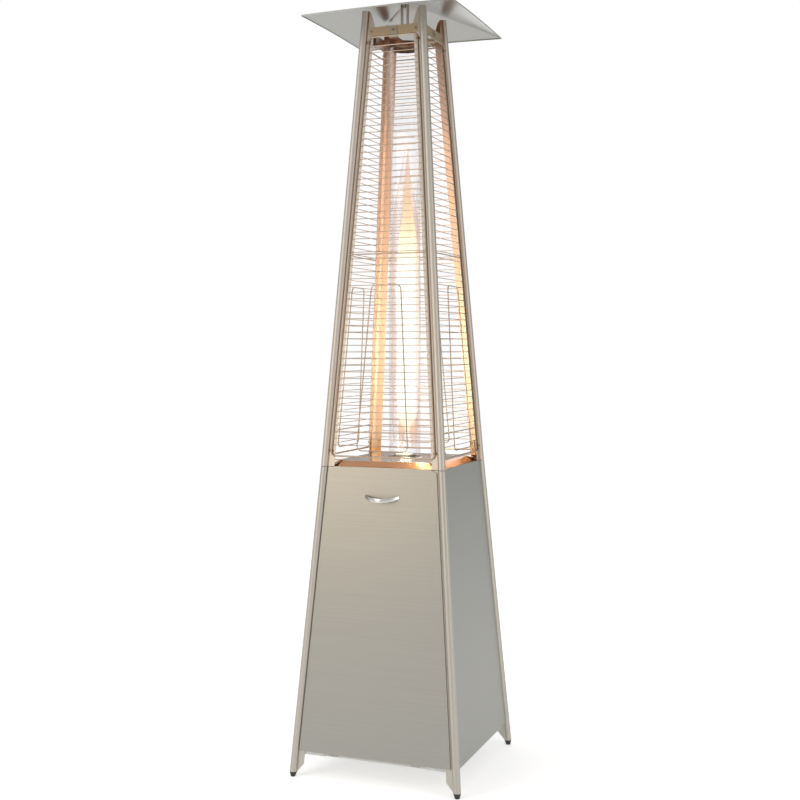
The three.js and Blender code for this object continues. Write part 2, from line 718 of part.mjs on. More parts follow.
const frameLow = GUARD_BOTTOM;
const frameHigh = GUARD_TOP;
const framePath = rounded([
  [-guardHalf(frameLow), upperV(frameLow)],
  [guardHalf(frameLow), upperV(frameLow)],
  [guardHalf(frameHigh), upperV(frameHigh)],
  [-guardHalf(frameHigh), upperV(frameHigh)],
], 12);
const guardParts = [rod(framePath, GUARD_ROD_R, GUARD_W, true)];
for (const z of [1005.3, 1520.6, 2126]) {
  const half = guardHalf(z);
  guardParts.push(rod([[-half, upperV(z)], [half, upperV(z)]], CROSS_R, GUARD_W, false));
}
for (let i = -2; i < 58; i++) {
  const z = 1005.3 + i * WIRE_PITCH;
  if (i === 0 || Math.abs(z - 1520.6) < 4) continue;
  const half = guardHalf(z);
  const v = upperV(z);
  guardParts.push(box(-half, half, v - WIRE / 2, v + WIRE / 2, GUARD_W - WIRE / 2, GUARD_W + WIRE / 2));
}
const guard = join(...guardParts).applyMatrix4(UPPER_FACE);

const loopPath = rounded([
  [-79, upperV(LOOP_LOW)], [79, upperV(LOOP_LOW)], [45, upperV(LOOP_HIGH)], [-45, upperV(LOOP_HIGH)],
], 14);
const loop = rod(loopPath, LOOP_R, LOOP_W, true).applyMatrix4(UPPER_FACE);

SIDES.forEach((name, side) => {
  add(`guard_${name}`, quarterTurn(guard, side));
  add(`guard_loop_${name}`, quarterTurn(loop, side));
});

// ---------------------------------------------------------------- reflector and its hanger

// One square ring of the reflector, its edges bowed upward between the corners.
function reflectorRing(half, cornerZ, bow, steps = 6) {
  const points = [];
  for (let side = 0; side < 4; side++) {
    for (let i = 0; i < steps; i++) {
      const t = (2 * i) / steps - 1;
      const [x, y] = [half * t, -half];
      const [cos, sin] = [[1, 0], [0, 1], [-1, 0], [0, -1]][side];
      points.push([x * cos - y * sin, x * sin + y * cos, cornerZ + bow * (1 - t * t)]);
    }
  }
  return points;
}

// Closed sheet through square rings, from the apex down over the rim and back up inside.
function ringShell(rings) {
  const count = rings[0].length;
  const positions = rings.flat(2);
  const index = [];
  for (let ring = 0; ring < rings.length; ring++) {
    const next = (ring + 1) % rings.length;
    for (let i = 0; i < count; i++) {
      const a = ring * count + i;
      const b = ring * count + (i + 1) % count;
      const c = next * count + i;
      const d = next * count + (i + 1) % count;
      index.push(a, d, b, a, c, d);
    }
  }
  return indexed(positions, index);
}

const APEX_HALF = 4.4;
const rimTop = REFLECTOR_CORNER_Z;
const hemLow = rimTop - REFLECTOR_HEM;
add("reflector", ringShell([
  reflectorRing(APEX_HALF, REFLECTOR_APEX_Z, 0),
  reflectorRing(14, REFLECTOR_APEX_Z, 0),
  reflectorRing(REFLECTOR_HALF - 1, rimTop, REFLECTOR_BOW),
  reflectorRing(REFLECTOR_HALF, rimTop - 1, REFLECTOR_BOW),
  reflectorRing(REFLECTOR_HALF, hemLow, REFLECTOR_BOW),
  reflectorRing(REFLECTOR_HALF - SHEET, hemLow, REFLECTOR_BOW),
  reflectorRing(REFLECTOR_HALF - SHEET, rimTop - SHEET - 0.6, REFLECTOR_BOW),
  reflectorRing(14, REFLECTOR_APEX_Z - SHEET, 0),
  reflectorRing(APEX_HALF, REFLECTOR_APEX_Z - SHEET, 0),
]));

// Hanger strap: from the left collar band up under the reflector and down to the right one.
const HANGER_TOP = REFLECTOR_APEX_Z - SHEET - GAP;
const HANGER_T = 1.5;
const HANGER_LOW = 2181;
const tabX = (z) => tubeHalf(z) - FLANGE_T - GAP - HANGER_T / 2 - 0.4;
const hangerPath = [
  [-tabX(2160), 2160], [-tabX(HANGER_LOW), HANGER_LOW], [-9, HANGER_LOW], [-9, HANGER_TOP - HANGER_T / 2],
  [9, HANGER_TOP - HANGER_T / 2], [9, HANGER_LOW], [tabX(HANGER_LOW), HANGER_LOW], [tabX(2160), 2160],
];
const hanger = slab(strip(hangerPath, HANGER_T), -10, 10).rotateX(Math.PI / 2);
add("hanger_strap", cut(hanger, cylinder(4.4, HANGER_TOP - 5, HANGER_TOP + 5)));

const headLow = REFLECTOR_APEX_Z + GAP;
const nutHigh = HANGER_TOP - HANGER_T - GAP;
add("hanger_bolt", revolve([
  [0, nutHigh - 12], [4, nutHigh - 12], [4, nutHigh - 8], [7.5, nutHigh - 8], [7.5, nutHigh],
  [4, nutHigh], [4, headLow], [9, headLow], [7, 2270], [0, 2270],
], 16), STEEL);

export default group;
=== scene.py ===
"""Looks for the pyramid patio heater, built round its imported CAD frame.

Lengths are in millimetres and turn into metres as each mesh is made. The camera and the lamps
are placed in metres.
"""

import json
import math

import bpy
from mathutils import Matrix, Vector


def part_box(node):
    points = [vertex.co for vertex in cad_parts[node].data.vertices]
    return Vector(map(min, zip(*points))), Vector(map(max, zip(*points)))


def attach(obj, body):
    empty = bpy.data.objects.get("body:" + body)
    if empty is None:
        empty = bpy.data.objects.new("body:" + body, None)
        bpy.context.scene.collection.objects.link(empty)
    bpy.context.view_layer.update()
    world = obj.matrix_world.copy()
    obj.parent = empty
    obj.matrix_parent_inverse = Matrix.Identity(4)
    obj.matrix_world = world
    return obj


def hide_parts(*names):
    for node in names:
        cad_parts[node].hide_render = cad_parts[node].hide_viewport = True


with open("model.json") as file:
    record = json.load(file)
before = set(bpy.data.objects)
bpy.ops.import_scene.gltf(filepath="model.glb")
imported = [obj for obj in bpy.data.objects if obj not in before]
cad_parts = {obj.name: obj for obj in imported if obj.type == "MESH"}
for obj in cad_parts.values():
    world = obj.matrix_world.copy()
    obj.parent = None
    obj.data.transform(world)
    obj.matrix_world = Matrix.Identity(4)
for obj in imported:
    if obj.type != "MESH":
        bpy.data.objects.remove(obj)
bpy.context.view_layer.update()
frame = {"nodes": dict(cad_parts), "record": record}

MM = 0.001
SIDES = ("front", "right", "rear", "left")
CORNERS = ("front_right", "rear_right", "rear_left", "front_left")
BODY = "heater"
DOOR = "door"

# The leaning corners: distance of each tube's centre from the middle planes.
FLOOR_HALF = 252.8
SPLIT_HALF = 181.2
TOP_HALF = 87.7
SPLIT_Z = 904.0
TOP_Z = 2230.0

# Corner profile: a rolled tube with two thin flanges, which narrow to stubs at the leg's lower end
# and at the post's upper end.
TUBE_R = 11.0
TUBE_STEPS = 30
INNER_STEPS = 8
FLANGE_REACH = 30.5
FLANGE_T = 1.5
EDGE_LENGTH = 0.5
EDGE_ROUND = 0.4
EDGE_MIN = TUBE_R + 0.2
STUB_REACH = TUBE_R + 0.8
LEG_BOTTOM = 15.0
LEG_FLANGE_FROM = 39.0
LEG_TOP = SPLIT_Z - 0.9
POST_BOTTOM = SPLIT_Z + 0.6
POST_FLANGE_TO = 2189.0
POST_TAPER_TO = 2225.0
POST_TAPER_REACH = 16.0
POST_CAP_FROM = 2228.5

# Foot, as (radius, height) pairs going up.
FOOT_SIDES = 32
FOOT_PROFILE = ((6.2, 0.0), (7.0, 0.8), (8.6, 6.0), (10.2, 11.0), (10.9, 12.2), (10.9, 14.4), (9.0, 14.7),
                (9.0, 20.0))

# Guards: a rod frame, cross rods and thin wires on each side, held by bent clips. A name that ends
# in W is a distance out of the leaning face. A plate is (x0, x1, y0, y1, z0, z1, chamfer) on it.
GUARD_BOTTOM = 934.7
GUARD_TOP = 2152.6
GUARD_EDGE = 18.5
GUARD_ROD_R = 2.5
GUARD_CORNER_R = 13.0
GUARD_W = 2.8
FRAME_SIDES = 14
CROSS_RODS = (1005.3, 1520.6, 2126.0)
CROSS_R = 1.9
CROSS_SIDES = 12
WIRE_R = 1.15
WIRE_SIDES = 8
WIRE_PITCHES = 58
WIRES_BELOW = 2
WIRE_PITCH = (CROSS_RODS[2] - CROSS_RODS[0]) / WIRE_PITCHES
CLIP_HEIGHTS = (950.0, 2138.0)
CLIP_PLATE = (-5.0, 5.0, -3.5, 3.5, 0.3, 1.2, 1.0)
CLIP_PLATE_SHIFT = 7.0
CLIP_SADDLE = ((-4.0, 1.0), (-4.0, 5.4), (-2.6, 6.9), (2.6, 6.9), (4.0, 5.4), (4.0, 1.0),
               (3.2, 1.0), (3.2, 5.1), (2.2, 6.2), (-2.2, 6.2), (-3.2, 5.1), (-3.2, 1.0))
CLIP_SADDLE_HALF = 3.2
CLIP_SCREW = (2.2, 1.2)
CLIP_SCREW_SHIFT = 8.5
CLIP_SCREW_W = 1.2

# Rounded loop in front of each guard, as (half width, height) at its two ends.
LOOP_R = 1.7
LOOP_GAP = 0.3
LOOP_W = GUARD_W + CROSS_R + LOOP_GAP + LOOP_R
LOOP_SIDES = 12
LOOP_CORNER_R = 15.0
LOOP_LOW = (79.0, 952.0)
LOOP_HIGH = (45.0, 1430.0)
CORNER_STEPS = 8
MITRE_LIMIT = 0.2

# Reflector: a square sheet rising to its middle, with a hem turned down round it.
REFLECTOR_APEX_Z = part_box("reflector")[1][2] / MM
REFLECTOR_CORNER_Z = 2200.0
REFLECTOR_HALF = 230.0
REFLECTOR_BOW = 3.0
REFLECTOR_HOLE = 5.0
REFLECTOR_FLAT = 14.0
REFLECTOR_EDGE = 2.0
REFLECTOR_SHARES = (0.2, 0.4, 0.6, 0.8)
REFLECTOR_STEPS = 24
SHEET = 1.2
HEM = 4.0
HEM_OUTLINE = ((REFLECTOR_EDGE, 0.0), (0.6, 0.4), (0.0, 1.6), (0.0, HEM), (SHEET, HEM),
               (SHEET, SHEET + 0.8))

# Hanger bolt: its head as (radius, distance below the top) pairs.
BOLT_R = 3.9
BOLT_SIDES = 24
BOLT_HEAD_SIDES = 32
BOLT_HEAD = ((8.9, 1.7), (8.2, 0.9), (5.5, 0.2), (1.0, 0.0))
BOLT_HEAD_FROM = 1.8
NUT_R = 7.5
NUT_FROM = 4.0
NUT_TO = 11.9

# Glass tube and the deck collar round it, as (distance past the glass, height above the deck) pairs.
DECK_Z = 921.0
GLASS_R = 47.5
GLASS_WALL = 2.0
GLASS_EDGE = 0.5
GLASS_SIDES = 96
GLASS_BOTTOM = 900.0
GLASS_TOP = 2146.0
COLLAR_SIDES = 64
COLLAR_PROFILE = ((1.4, 0.1), (9.0, 0.1), (9.0, 0.8), (5.0, 1.6), (2.8, 3.6), (1.4, 3.6))

# Bow handle of the door.
PANEL_FRONT = 4.0
HANDLE_X = 4.0
HANDLE_Z = 822.0
HANDLE_HALF = 51.0
HANDLE_STAND = 29.0
HANDLE_HEIGHT = 12.0
HANDLE_T = 3.0
HANDLE_DROOP = 0.32
HANDLE_POWER = 2.2
HANDLE_END_SHARE = 0.86
HANDLE_SQUARENESS = 0.5
HANDLE_STEPS = 40
HANDLE_SIDES = 16
HANDLE_START = PANEL_FRONT + 0.5
HANDLE_LIMIT = PANEL_FRONT + 0.3

# Screw heads, each as (radius, height). The rim and the hollow are shares of those two.
SCREW_SIDES = 20
SCREW_RIM = 0.3
SCREW_HOLLOW = ((0.30, 0.95), (0.24, 0.45))
DOME_STEPS = 5
BAND_Z = 2168.0
BAND_SCREW = (3.6, 2.0)
BAND_SCREW_SPOTS = ((-69.0, 1.5), (69.0, 1.5), (0.0, 2.9))
BAND_TAB = (-12.5, 12.5, -22.0, 11.5, 1.6, 2.8, 1.5)
BRACKET_SCREW = (3.0, 1.6)
BRACKET_SCREW_HEIGHTS = (936.0, 956.0)
BRACKET_SCREW_INSET = 22.5
BRACKET_SCREW_W = -FLANGE_T - 1.7
PANEL_SCREW = (2.8, 1.3)
PANEL_SCREW_HEIGHTS = (120.0, 847.0)
PANEL_SCREW_INSET = 22.0
RIVET = (2.2, 0.9)
RIVET_Z = 176.0
RIVET_SHIFT = 1.0
RIVET_W = TUBE_R - 0.5
DECK_SCREW = (3.2, 1.8)
DECK_SCREW_RING = GLASS_R + 22.0
DECK_SCREW_Z = DECK_Z + 0.1

# Flame parts, as (height, radius) pairs going up.
FLAME_X = 9.0
VEIL_X = 2.0
FOOT_SPREAD = 19.0
FLAME_CORE = ((1000, 11), (1030, 24), (1075, 31), (1150, 34), (1300, 35), (1400, 35), (1500, 33.5),
              (1566, 29), (1620, 21.5), (1665, 13), (1700, 6.5), (1725, 0.4))
FLAME_VEIL = ((962, 33), (1000, 40), (1100, 43), (1350, 43), (1566, 42), (1640, 37), (1690, 30),
              (1745, 19), (1800, 9), (1836, 3), (1850, 0.4))
FLAME_TIP = ((1480, 22), (1566, 27), (1640, 21), (1700, 14), (1760, 9), (1810, 4.5), (1848, 0.4))
FLAME_FOOT = ((945, 7), (975, 9), (1005, 11), (1040, 9), (1060, 4))
FLAME_SIDES = 40
FLAME_THINNEST = 0.3
SMOOTH_STEPS = 6
SWAY_RATE = 0.021
RIPPLE_RATE = 0.067
RIPPLE_SHARE = 0.02

# Flame colours, and the lights inside it as (height, power, colour).
WHITE = (1.0, 0.99, 0.93)
YELLOW = (1.0, 0.90, 0.58)
AMBER = (1.0, 0.74, 0.42)
ORANGE = (0.98, 0.56, 0.34)
PEACH = (0.93, 0.62, 0.46)
PINK = (0.88, 0.58, 0.52)
LOW_GLOW = (1.0, 0.84, 0.52)
HIGH_GLOW = (1.0, 0.66, 0.44)
LIGHT_RADIUS = 0.035
LIGHTS = ((1000, 1.4, LOW_GLOW), (1110, 2.4, LOW_GLOW), (1230, 2.8, LOW_GLOW), (1350, 2.6, LOW_GLOW),
          (1470, 1.6, HIGH_GLOW), (1590, 1.1, HIGH_GLOW), (1720, 0.6, HIGH_GLOW), (1850, 0.4, HIGH_GLOW))

# Camera, in metres and radians.
CAMERA_PLACE = (1.3207, -3.4511, 1.2501)
CAMERA_YAW = -0.3694
CAMERA_PITCH = -0.0425
CAMERA_LENS = 55.46
CAMERA_SENSOR = 36.0

# Studio lamps: name, place, target, width and height, power, colour.
LAMPS = (
    ("key", (-2.6, -3.2, 3.0), (0, 0, 1.0), (2.0, 2.0), 24, (1.0, 0.97, 0.93)),
    ("card", (-1.6, -3.4, 1.35), (0, 0, 0.9), (1.2, 0.8), 16, (1.0, 0.76, 0.50)),
    ("fill", (3.6, -1.0, 1.7), (0, 0, 1.1), (1.2, 2.8), 22, (1.0, 0.94, 0.87)),
    ("back", (-1.0, 3.4, 2.6), (0, 0, 1.2), (2.4, 2.0), 16, (1.0, 1.0, 1.0)),
)
STUDIO_REACH = 40000.0
STUDIO_WHITE = (0.95, 0.95, 0.95)
STUDIO_GLOW = 0.42

# The world that the metal mirrors: grey below and white above, and dimmer towards DIM_SIDE.
SKY = ((0.30, (0.55, 0.53, 0.50)), (0.80, (1.0, 1.0, 1.0)))
DIM_SIDE = (0.36, 0.93, 0.0)
DIM_FROM = -0.6
DIM_TO = 0.8
BRIGHT_STRENGTH = 0.83
DIM_STRENGTH = 0.43

# Surface detail.
GRAIN_DETAIL = 4.0
GRAIN_DARK_AT = 0.3
GRAIN_LIGHT_AT = 0.7
BUMP_DEPTH = 0.0005
ROUGH_BELOW = 0.04
ROUGH_ABOVE = 0.05
PLASTIC_STRETCH = (160.0, 160.0, 160.0)
PLASTIC_SPREAD = 0.12
PLASTIC_BUMP = 0.15
FLOOR_STRETCH = (0.5, 0.5, 0.5)
FLOOR_SPREAD = 0.005
SOFT_EDGE = 0.4
SOFT_EDGE_ANGLE = 40.0

# Heat tint and painted flame light: how uneven the tints are, where the posts are burnt, and how far a
# post's face looks outward where it is still plain and where it fully takes the painted glow of the
# flame.
TINT_NOISE = 22.0
TINT_DETAIL = 3.0
TINT_WAVER = 0.5
TINT_FROM = 0.25
BURNT_FROM = 2140.0
BURNT_TO = 2195.0
PLAIN_FACING = 0.1
TINTED_AND_LIT_FACING = -0.4
POST_STREAKS = (700.0, 700.0, 3.0)
POST_SPREAD = 0.05

# Clear tube.
QUARTZ_CLEAR = (0.975, 0.975, 0.98, 1.0)
QUARTZ_GLOSS = (1.0, 0.96, 0.94, 1.0)
QUARTZ_ROUGHNESS = 0.06
QUARTZ_BLEND = 0.28
QUARTZ_SKIN = 0.01
QUARTZ_RIM = 0.22


# ---------------------------------------------------------------- camera and studio

def make_camera():
    """The camera stands a little right of the door, at about half the heater's height."""
    data = bpy.data.cameras.new("camera")
    data.lens = CAMERA_LENS
    data.sensor_width = CAMERA_SENSOR
    camera = bpy.data.objects.new("camera", data)
    level = math.cos(CAMERA_PITCH)
    forward = Vector((math.sin(CAMERA_YAW) * level, math.cos(CAMERA_YAW) * level, math.sin(CAMERA_PITCH)))
    camera.rotation_euler = forward.to_track_quat("-Z", "Y").to_euler()
    camera.location = CAMERA_PLACE
    bpy.context.scene.collection.objects.link(camera)
    bpy.context.scene.camera = camera


def area_light(name, place, target, size, power, color):
    """Rectangular lamp aimed at a target."""
    data = bpy.data.lights.new(name, "AREA")
    data.shape = "RECTANGLE"
    data.size, data.size_y = size
    data.energy = power
    data.color = color
    light = bpy.data.objects.new(name, data)
    light.location = place
    aim = Vector(target) - Vector(place)
    light.rotation_euler = aim.to_track_quat("-Z", "Y").to_euler()
    bpy.context.scene.collection.objects.link(light)


def make_world():
    """White where the camera sees it, and a graded grey for the metal to mirror."""
    world = bpy.data.worlds.new("studio")
    bpy.context.scene.world = world
    world.use_nodes = True
    tree = world.node_tree
    tree.nodes.clear()
    output = add_node(tree, "ShaderNodeOutputWorld")
    seen = add_node(tree, "ShaderNodeBackground", {"Color": (1.0, 1.0, 1.0, 1.0), "Strength": 1.0})
    lit = add_node(tree, "ShaderNodeBackground")
    coords = add_node(tree, "ShaderNodeTexCoord")
    split = add_node(tree, "ShaderNodeSeparateXYZ")
    half = add_node(tree, "ShaderNodeMath", {1: 0.5, 2: 0.5}, "MULTIPLY_ADD")
    tree.links.new(coords.outputs["Generated"], split.inputs[0])
    tree.links.new(split.outputs["Z"], half.inputs[0])
    tree.links.new(ramp(tree, half.outputs[0], SKY), lit.inputs["Color"])
    sideways = add_node(tree, "ShaderNodeVectorMath", {1: DIM_SIDE}, "DOT_PRODUCT")
    tree.links.new(coords.outputs["Generated"], sideways.inputs[0])
    strength = mapped(tree, sideways.outputs["Value"], DIM_FROM, DIM_TO, BRIGHT_STRENGTH, DIM_STRENGTH)
    tree.links.new(strength, lit.inputs["Strength"])
    path = add_node(tree, "ShaderNodeLightPath")
    to_camera = path.outputs["Is Camera Ray"]
    mix_shaders(tree, to_camera, lit.outputs[0], seen.outputs[0], output.inputs["Surface"])


def make_studio():
    """White floor and backdrop, a greyer world for the metal to mirror, and soft lamps."""
    bpy.context.scene.view_settings.view_transform = "Standard"
    make_world()
    corners = [(x * STUDIO_REACH, y * STUDIO_REACH, 0) for x, y in ((-1, -1), (1, -1), (1, 1), (-1, 1))]
    floor = plain_mesh("studio_floor", corners, [(0, 1, 2, 3)])
    floor.data.materials.append(floor_material())
    for lamp in LAMPS:
        area_light(*lamp)


# ---------------------------------------------------------------- shader helpers

def add_node(tree, kind, sockets=None, operation=None):
    """New shader node with the given sockets and operation set."""
    node = tree.nodes.new(kind)
    if operation:
        node.operation = operation
    for socket, value in (sockets or {}).items():
        node.inputs[socket].default_value = value
    return node


def mapped(tree, source, start, end, low=0.0, high=1.0):
    """Number carried from one range to another and held at the ends."""
    sockets = {"From Min": start, "From Max": end, "To Min": low, "To Max": high}
    node = add_node(tree, "ShaderNodeMapRange", sockets)
    tree.links.new(source, node.inputs["Value"])
    return node.outputs[0]


def ramp(tree, source, stops):
    """Colour ramp from (place, value or colour) pairs."""
    node = tree.nodes.new("ShaderNodeValToRGB")
    elements = node.color_ramp.elements
    while len(elements) < len(stops):
        elements.new(0.5)
    for element, (place, tone) in zip(elements, stops):
        element.position = place
        element.color = (*tone, 1.0) if isinstance(tone, tuple) else (tone, tone, tone, 1.0)
    tree.links.new(source, node.inputs[0])
    return node.outputs[0]


def noise(tree, coords, scale, detail, stretch=None):
    """Noise in the object's own space, stretched along its axes where asked."""
    field = add_node(tree, "ShaderNodeTexNoise", {"Scale": scale, "Detail": detail})
    place = coords.outputs["Object"]
    if stretch:
        mapping = add_node(tree, "ShaderNodeMapping", {"Scale": stretch})
        tree.links.new(place, mapping.inputs[0])
        place = mapping.outputs[0]
    tree.links.new(place, field.inputs["Vector"])
    return field.outputs["Fac"]


def streaks(tree, field, base, spread):
    """The base colour made darker and lighter by a noise field."""
    dark = tuple(c * (1 - spread) for c in base)
    light = tuple(min(1.0, c * (1 + spread)) for c in base)
    return ramp(tree, field, ((GRAIN_DARK_AT, dark), (GRAIN_LIGHT_AT, light)))


def height_share(tree, coords, low, high):
    """0 at the low height and 1 at the high one."""
    split = add_node(tree, "ShaderNodeSeparateXYZ")
    tree.links.new(coords.outputs["Object"], split.inputs[0])
    return mapped(tree, split.outputs["Z"], low * MM, high * MM)


def mix_shaders(tree, weight, first, second, surface):
    """Sends two shaders to the surface, the second one by the weight."""
    mix = add_node(tree, "ShaderNodeMixShader")
    for socket, source in enumerate((weight, first, second)):
        tree.links.new(source, mix.inputs[socket])
    tree.links.new(mix.outputs[0], surface)


def bare_material(name):
    """Material with nothing but its output."""
    material = bpy.data.materials.new(name)
    material.use_nodes = True
    tree = material.node_tree
    tree.nodes.clear()
    output = add_node(tree, "ShaderNodeOutputMaterial")
    return material, tree, output.inputs["Surface"]


# ---------------------------------------------------------------- materials

def new_material(name, base, metallic, roughness):
    """Plain material and its main shader."""
    material = bpy.data.materials.new(name)
    material.use_nodes = True
    shader = material.node_tree.nodes["Principled BSDF"]
    shader.inputs["Base Color"].default_value = (*base, 1.0)
    shader.inputs["Metallic"].default_value = metallic
    shader.inputs["Roughness"].default_value = roughness
    return material, shader


def grain(material, shader, base, stretch, spread, bump=0.0, rough=None):
    """Fine stretched streaks in colour, roughness and height."""
    tree = material.node_tree
    coords = add_node(tree, "ShaderNodeTexCoord")
    field = noise(tree, coords, 1.0, GRAIN_DETAIL, stretch)
    tree.links.new(streaks(tree, field, base, spread), shader.inputs["Base Color"])
    if rough:
        tree.links.new(mapped(tree, field, 0.0, 1.0, *rough), shader.inputs["Roughness"])
    if bump:
        height = add_node(tree, "ShaderNodeBump", {"Strength": bump, "Distance": BUMP_DEPTH})
        tree.links.new(field, height.inputs["Height"])
        tree.links.new(height.outputs[0], shader.inputs["Normal"])


def brushed(name, base, roughness=0.34, stretch=(3.0, 3.0, 900.0), spread=0.05, bump=0.06):
    """Metal with streaks along it."""
    material, shader = new_material(name, base, 1.0, roughness)
    rough = (roughness - ROUGH_BELOW, roughness + ROUGH_ABOVE)
    grain(material, shader, base, stretch, spread, bump, rough)
    return material


def tinted(name, low_colour, high_colour, low, high, roughness=0.32):
    """Steel coloured by height: one colour turning to another between two heights; heat tint on the
    brackets, band and holder, and on the deck a painted reflection of the flame on its rim.
    """
    material, shader = new_material(name, low_colour, 1.0, roughness)
    tree = material.node_tree
    coords = add_node(tree, "ShaderNodeTexCoord")
    waver = add_node(tree, "ShaderNodeMath", {1: TINT_WAVER}, "MULTIPLY_ADD")
    tree.links.new(noise(tree, coords, TINT_NOISE, TINT_DETAIL), waver.inputs[0])
    tree.links.new(height_share(tree, coords, low, high), waver.inputs[2])
    colour = ramp(tree, waver.outputs[0], ((TINT_FROM, low_colour), (1.0, high_colour)))
    tree.links.new(colour, shader.inputs["Base Color"])
    return material


def turned_outward(tree, coords):
    """How squarely a face looks away from the heater's middle line, from -1 to 1."""
    flat = add_node(tree, "ShaderNodeVectorMath", {1: (1.0, 1.0, 0.0)}, "MULTIPLY")
    radial = add_node(tree, "ShaderNodeVectorMath", operation="NORMALIZE")
    facing = add_node(tree, "ShaderNodeVectorMath", operation="DOT_PRODUCT")
    tree.links.new(coords.outputs["Object"], flat.inputs[0])
    tree.links.new(flat.outputs[0], radial.inputs[0])
    tree.links.new(radial.outputs[0], facing.inputs[0])
    tree.links.new(coords.outputs["Normal"], facing.inputs[1])
    return facing.outputs["Value"]


def smoked_and_flame_lit(name, outside, inside, burnt, roughness):
    """Steel that is plain outside; faces turned to the middle, towards the flame, are painted with the
    flame's glow, turning to a burnt heat tint near the top.
    """
    material, shader = new_material(name, outside, 1.0, roughness[0])
    tree = material.node_tree
    coords = add_node(tree, "ShaderNodeTexCoord")
    # Painted light: faces turned towards the flame take a painted peach glow of its light, which turns to
    # a burnt heat tint near the top.
    inward = mapped(tree, turned_outward(tree, coords), PLAIN_FACING, TINTED_AND_LIT_FACING)
    tint = ramp(tree, height_share(tree, coords, BURNT_FROM, BURNT_TO), ((0.0, inside), (1.0, burnt)))
    field = noise(tree, coords, 1.0, GRAIN_DETAIL, POST_STREAKS)
    blend = add_node(tree, "ShaderNodeMix")
    blend.data_type = "RGBA"
    tree.links.new(inward, blend.inputs["Factor"])
    tree.links.new(streaks(tree, field, outside, POST_SPREAD), blend.inputs["A"])
    tree.links.new(tint, blend.inputs["B"])
    tree.links.new(blend.outputs["Result"], shader.inputs["Base Color"])
    tree.links.new(mapped(tree, inward, 0.0, 1.0, *roughness), shader.inputs["Roughness"])
    return material


def plastic(name, base, roughness=0.5):
    """Plastic or glazed ceramic with a fine even texture."""
    material, shader = new_material(name, base, 0.0, roughness)
    grain(material, shader, base, PLASTIC_STRETCH, PLASTIC_SPREAD, PLASTIC_BUMP)
    return material


def quartz(name):
    """Clear tube: light passes straight through, with a faint skin and edge gloss."""
    material, tree, surface = bare_material(name)
    clear = add_node(tree, "ShaderNodeBsdfTransparent", {"Color": QUARTZ_CLEAR})
    gloss = add_node(tree, "ShaderNodeBsdfGlossy", {"Color": QUARTZ_GLOSS, "Roughness": QUARTZ_ROUGHNESS})
    edge = add_node(tree, "ShaderNodeLayerWeight", {"Blend": QUARTZ_BLEND})
    weight = mapped(tree, edge.outputs["Fresnel"], 0.0, 1.0, QUARTZ_SKIN, QUARTZ_RIM)
    mix_shaders(tree, weight, clear.outputs[0], gloss.outputs[0], surface)
    return material


def fire(name, colours, low, high, strength, by_height, by_edge):
    """Glowing gas: emission coloured by height, its density set by height and by how edge-on it is."""
    material, tree, surface = bare_material(name)
    coords = add_node(tree, "ShaderNodeTexCoord")
    share = height_share(tree, coords, low, high)
    glow = add_node(tree, "ShaderNodeEmission", {"Strength": strength})
    tree.links.new(ramp(tree, share, colours), glow.inputs["Color"])
    clear = add_node(tree, "ShaderNodeBsdfTransparent")
    edge = add_node(tree, "ShaderNodeLayerWeight", {"Blend": 0.5})
    weight = add_node(tree, "ShaderNodeMath", operation="MULTIPLY")
    tree.links.new(ramp(tree, edge.outputs["Facing"], by_edge), weight.inputs[0])
    tree.links.new(ramp(tree, share, by_height), weight.inputs[1])
    mix_shaders(tree, weight.outputs[0], clear.outputs[0], glow.outputs[0], surface)
    return material


def floor_material():
    """White floor that glows enough to melt into the backdrop."""
    material, shader = new_material("studio_white", STUDIO_WHITE, 0.0, 0.9)
    grain(material, shader, STUDIO_WHITE, FLOOR_STRETCH, FLOOR_SPREAD)
    shader.inputs["Emission Color"].default_value = (1.0, 1.0, 1.0, 1.0)
    shader.inputs["Emission Strength"].default_value = STUDIO_GLOW
    return material


